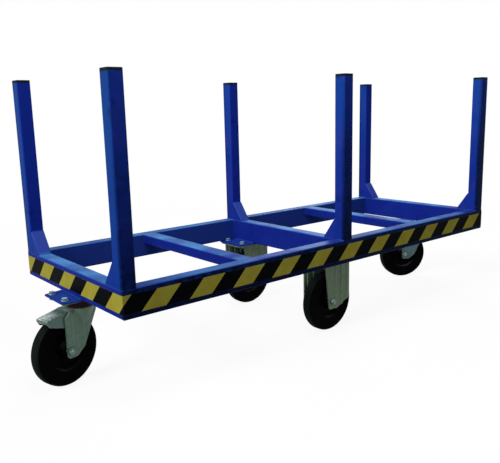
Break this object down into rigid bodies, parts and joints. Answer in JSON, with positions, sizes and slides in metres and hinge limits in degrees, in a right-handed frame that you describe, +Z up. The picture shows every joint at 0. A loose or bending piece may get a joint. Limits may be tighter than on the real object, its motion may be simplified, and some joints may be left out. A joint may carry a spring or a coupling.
{
  "type": "pipe cart",
  "caption": "Low tube-frame trolley for pipes and other long goods, with upright side posts on gussets, hazard tape round the frame and castors set in a diamond.",
  "frame": {"origin": "on the floor under the middle of the tube frame", "axes": "+X along the cart towards the end without the brake, +Y across it, +Z up"},
  "size_m": [2.2327, 0.7508, 1.04],
  "materials": {
    "blue_paint": "semi-gloss",
    "hazard_tape": "satin",
    "cap_plastic": "matte",
    "zinc_steel": "zinc plated",
    "pedal_steel": "zinc plated",
    "fastener_steel": "zinc plated",
    "bearing_steel": "ground",
    "seal_plastic": "matte",
    "tyre_rubber": "matte",
    "wheel_plastic": "matte"
  },
  "bodies": {
    "frame": {"side_rail_front": "blue_paint", "side_rail_back": "blue_paint", "end_rail_left": "blue_paint", "end_rail_right": "blue_paint", "center_crossbar": "blue_paint", "crossbar_left": "blue_paint", "crossbar_right": "blue_paint", "post_front_left": "blue_paint", "post_front_mid": "blue_paint", "post_front_right": "blue_paint", "post_back_left": "blue_paint", "post_back_mid": "blue_paint", "post_back_right": "blue_paint", "gusset_front_left": "blue_paint", "gusset_front_mid": "blue_paint", "gusset_front_right": "blue_paint", "gusset_back_left": "blue_paint", "gusset_back_mid": "blue_paint", "gusset_back_right": "blue_paint", "post_caps": "cap_plastic", "hazard_tape": "hazard_tape", "castor_pad_left": "blue_paint", "castor_pad_right": "blue_paint", "castor_pad_front": "blue_paint", "castor_pad_back": "blue_paint", "castor_bolts": "fastener_steel", "swivel_bearings": "bearing_steel", "swivel_plate_left": "zinc_steel", "kingpin_left": "fastener_steel", "swivel_plate_right": "zinc_steel", "kingpin_right": "fastener_steel", "fixed_bracket_front": "zinc_steel", "axle_bolt_front": "fastener_steel", "axle_sleeve_front": "bearing_steel", "fixed_bracket_back": "zinc_steel", "axle_bolt_back": "fastener_steel", "axle_sleeve_back": "bearing_steel"},
    "fork_left": {"fork_left": "zinc_steel", "dust_seal_left": "seal_plastic", "axle_bolt_left": "fastener_steel", "axle_sleeve_left": "bearing_steel", "brake_pin": "zinc_steel"},
    "fork_right": {"fork_right": "zinc_steel", "dust_seal_right": "seal_plastic", "axle_bolt_right": "fastener_steel", "axle_sleeve_right": "bearing_steel"},
    "wheel_left": {"tyre_left": "tyre_rubber", "wheel_centre_left": "wheel_plastic", "wheel_bearing_left": "bearing_steel"},
    "wheel_right": {"tyre_right": "tyre_rubber", "wheel_centre_right": "wheel_plastic", "wheel_bearing_right": "bearing_steel"},
    "wheel_front": {"tyre_front": "tyre_rubber", "wheel_centre_front": "wheel_plastic", "wheel_bearing_front": "bearing_steel"},
    "wheel_back": {"tyre_back": "tyre_rubber", "wheel_centre_back": "wheel_plastic", "wheel_bearing_back": "bearing_steel"},
    "brake": {"brake_pedal": "pedal_steel", "brake_shoe": "pedal_steel"}
  },
  "joints": [
    {"name": "left_swivel", "type": "hinge", "parent": "frame", "child": "fork_left", "pos_m": [-0.975, 0, 0.281], "axis": [0, 0, 1], "continuous": true},
    {"name": "right_swivel", "type": "hinge", "parent": "frame", "child": "fork_right", "pos_m": [0.975, 0, 0.281], "axis": [0, 0, 1], "continuous": true},
    {"name": "left_wheel_spin", "type": "hinge", "parent": "fork_left", "child": "wheel_left", "pos_m": [-1.04389, -0.01718, 0.125], "axis": [-0.2419, 0.9703, 0], "continuous": true},
    {"name": "right_wheel_spin", "type": "hinge", "parent": "fork_right", "child": "wheel_right", "pos_m": [0.91174, 0.03223, 0.125], "axis": [0.454, 0.891, 0], "continuous": true},
    {"name": "front_wheel_spin", "type": "hinge", "parent": "frame", "child": "wheel_front", "pos_m": [0, -0.26, 0.125], "axis": [0, 1, 0], "continuous": true},
    {"name": "back_wheel_spin", "type": "hinge", "parent": "frame", "child": "wheel_back", "pos_m": [0, 0.26, 0.125], "axis": [0, 1, 0], "continuous": true},
    {"name": "brake_press", "type": "hinge", "parent": "fork_left", "child": "brake", "pos_m": [-1.02351, -0.0121, 0.254], "axis": [0.2419, -0.9703, 0], "range_deg": [0, 5]}
  ]
}
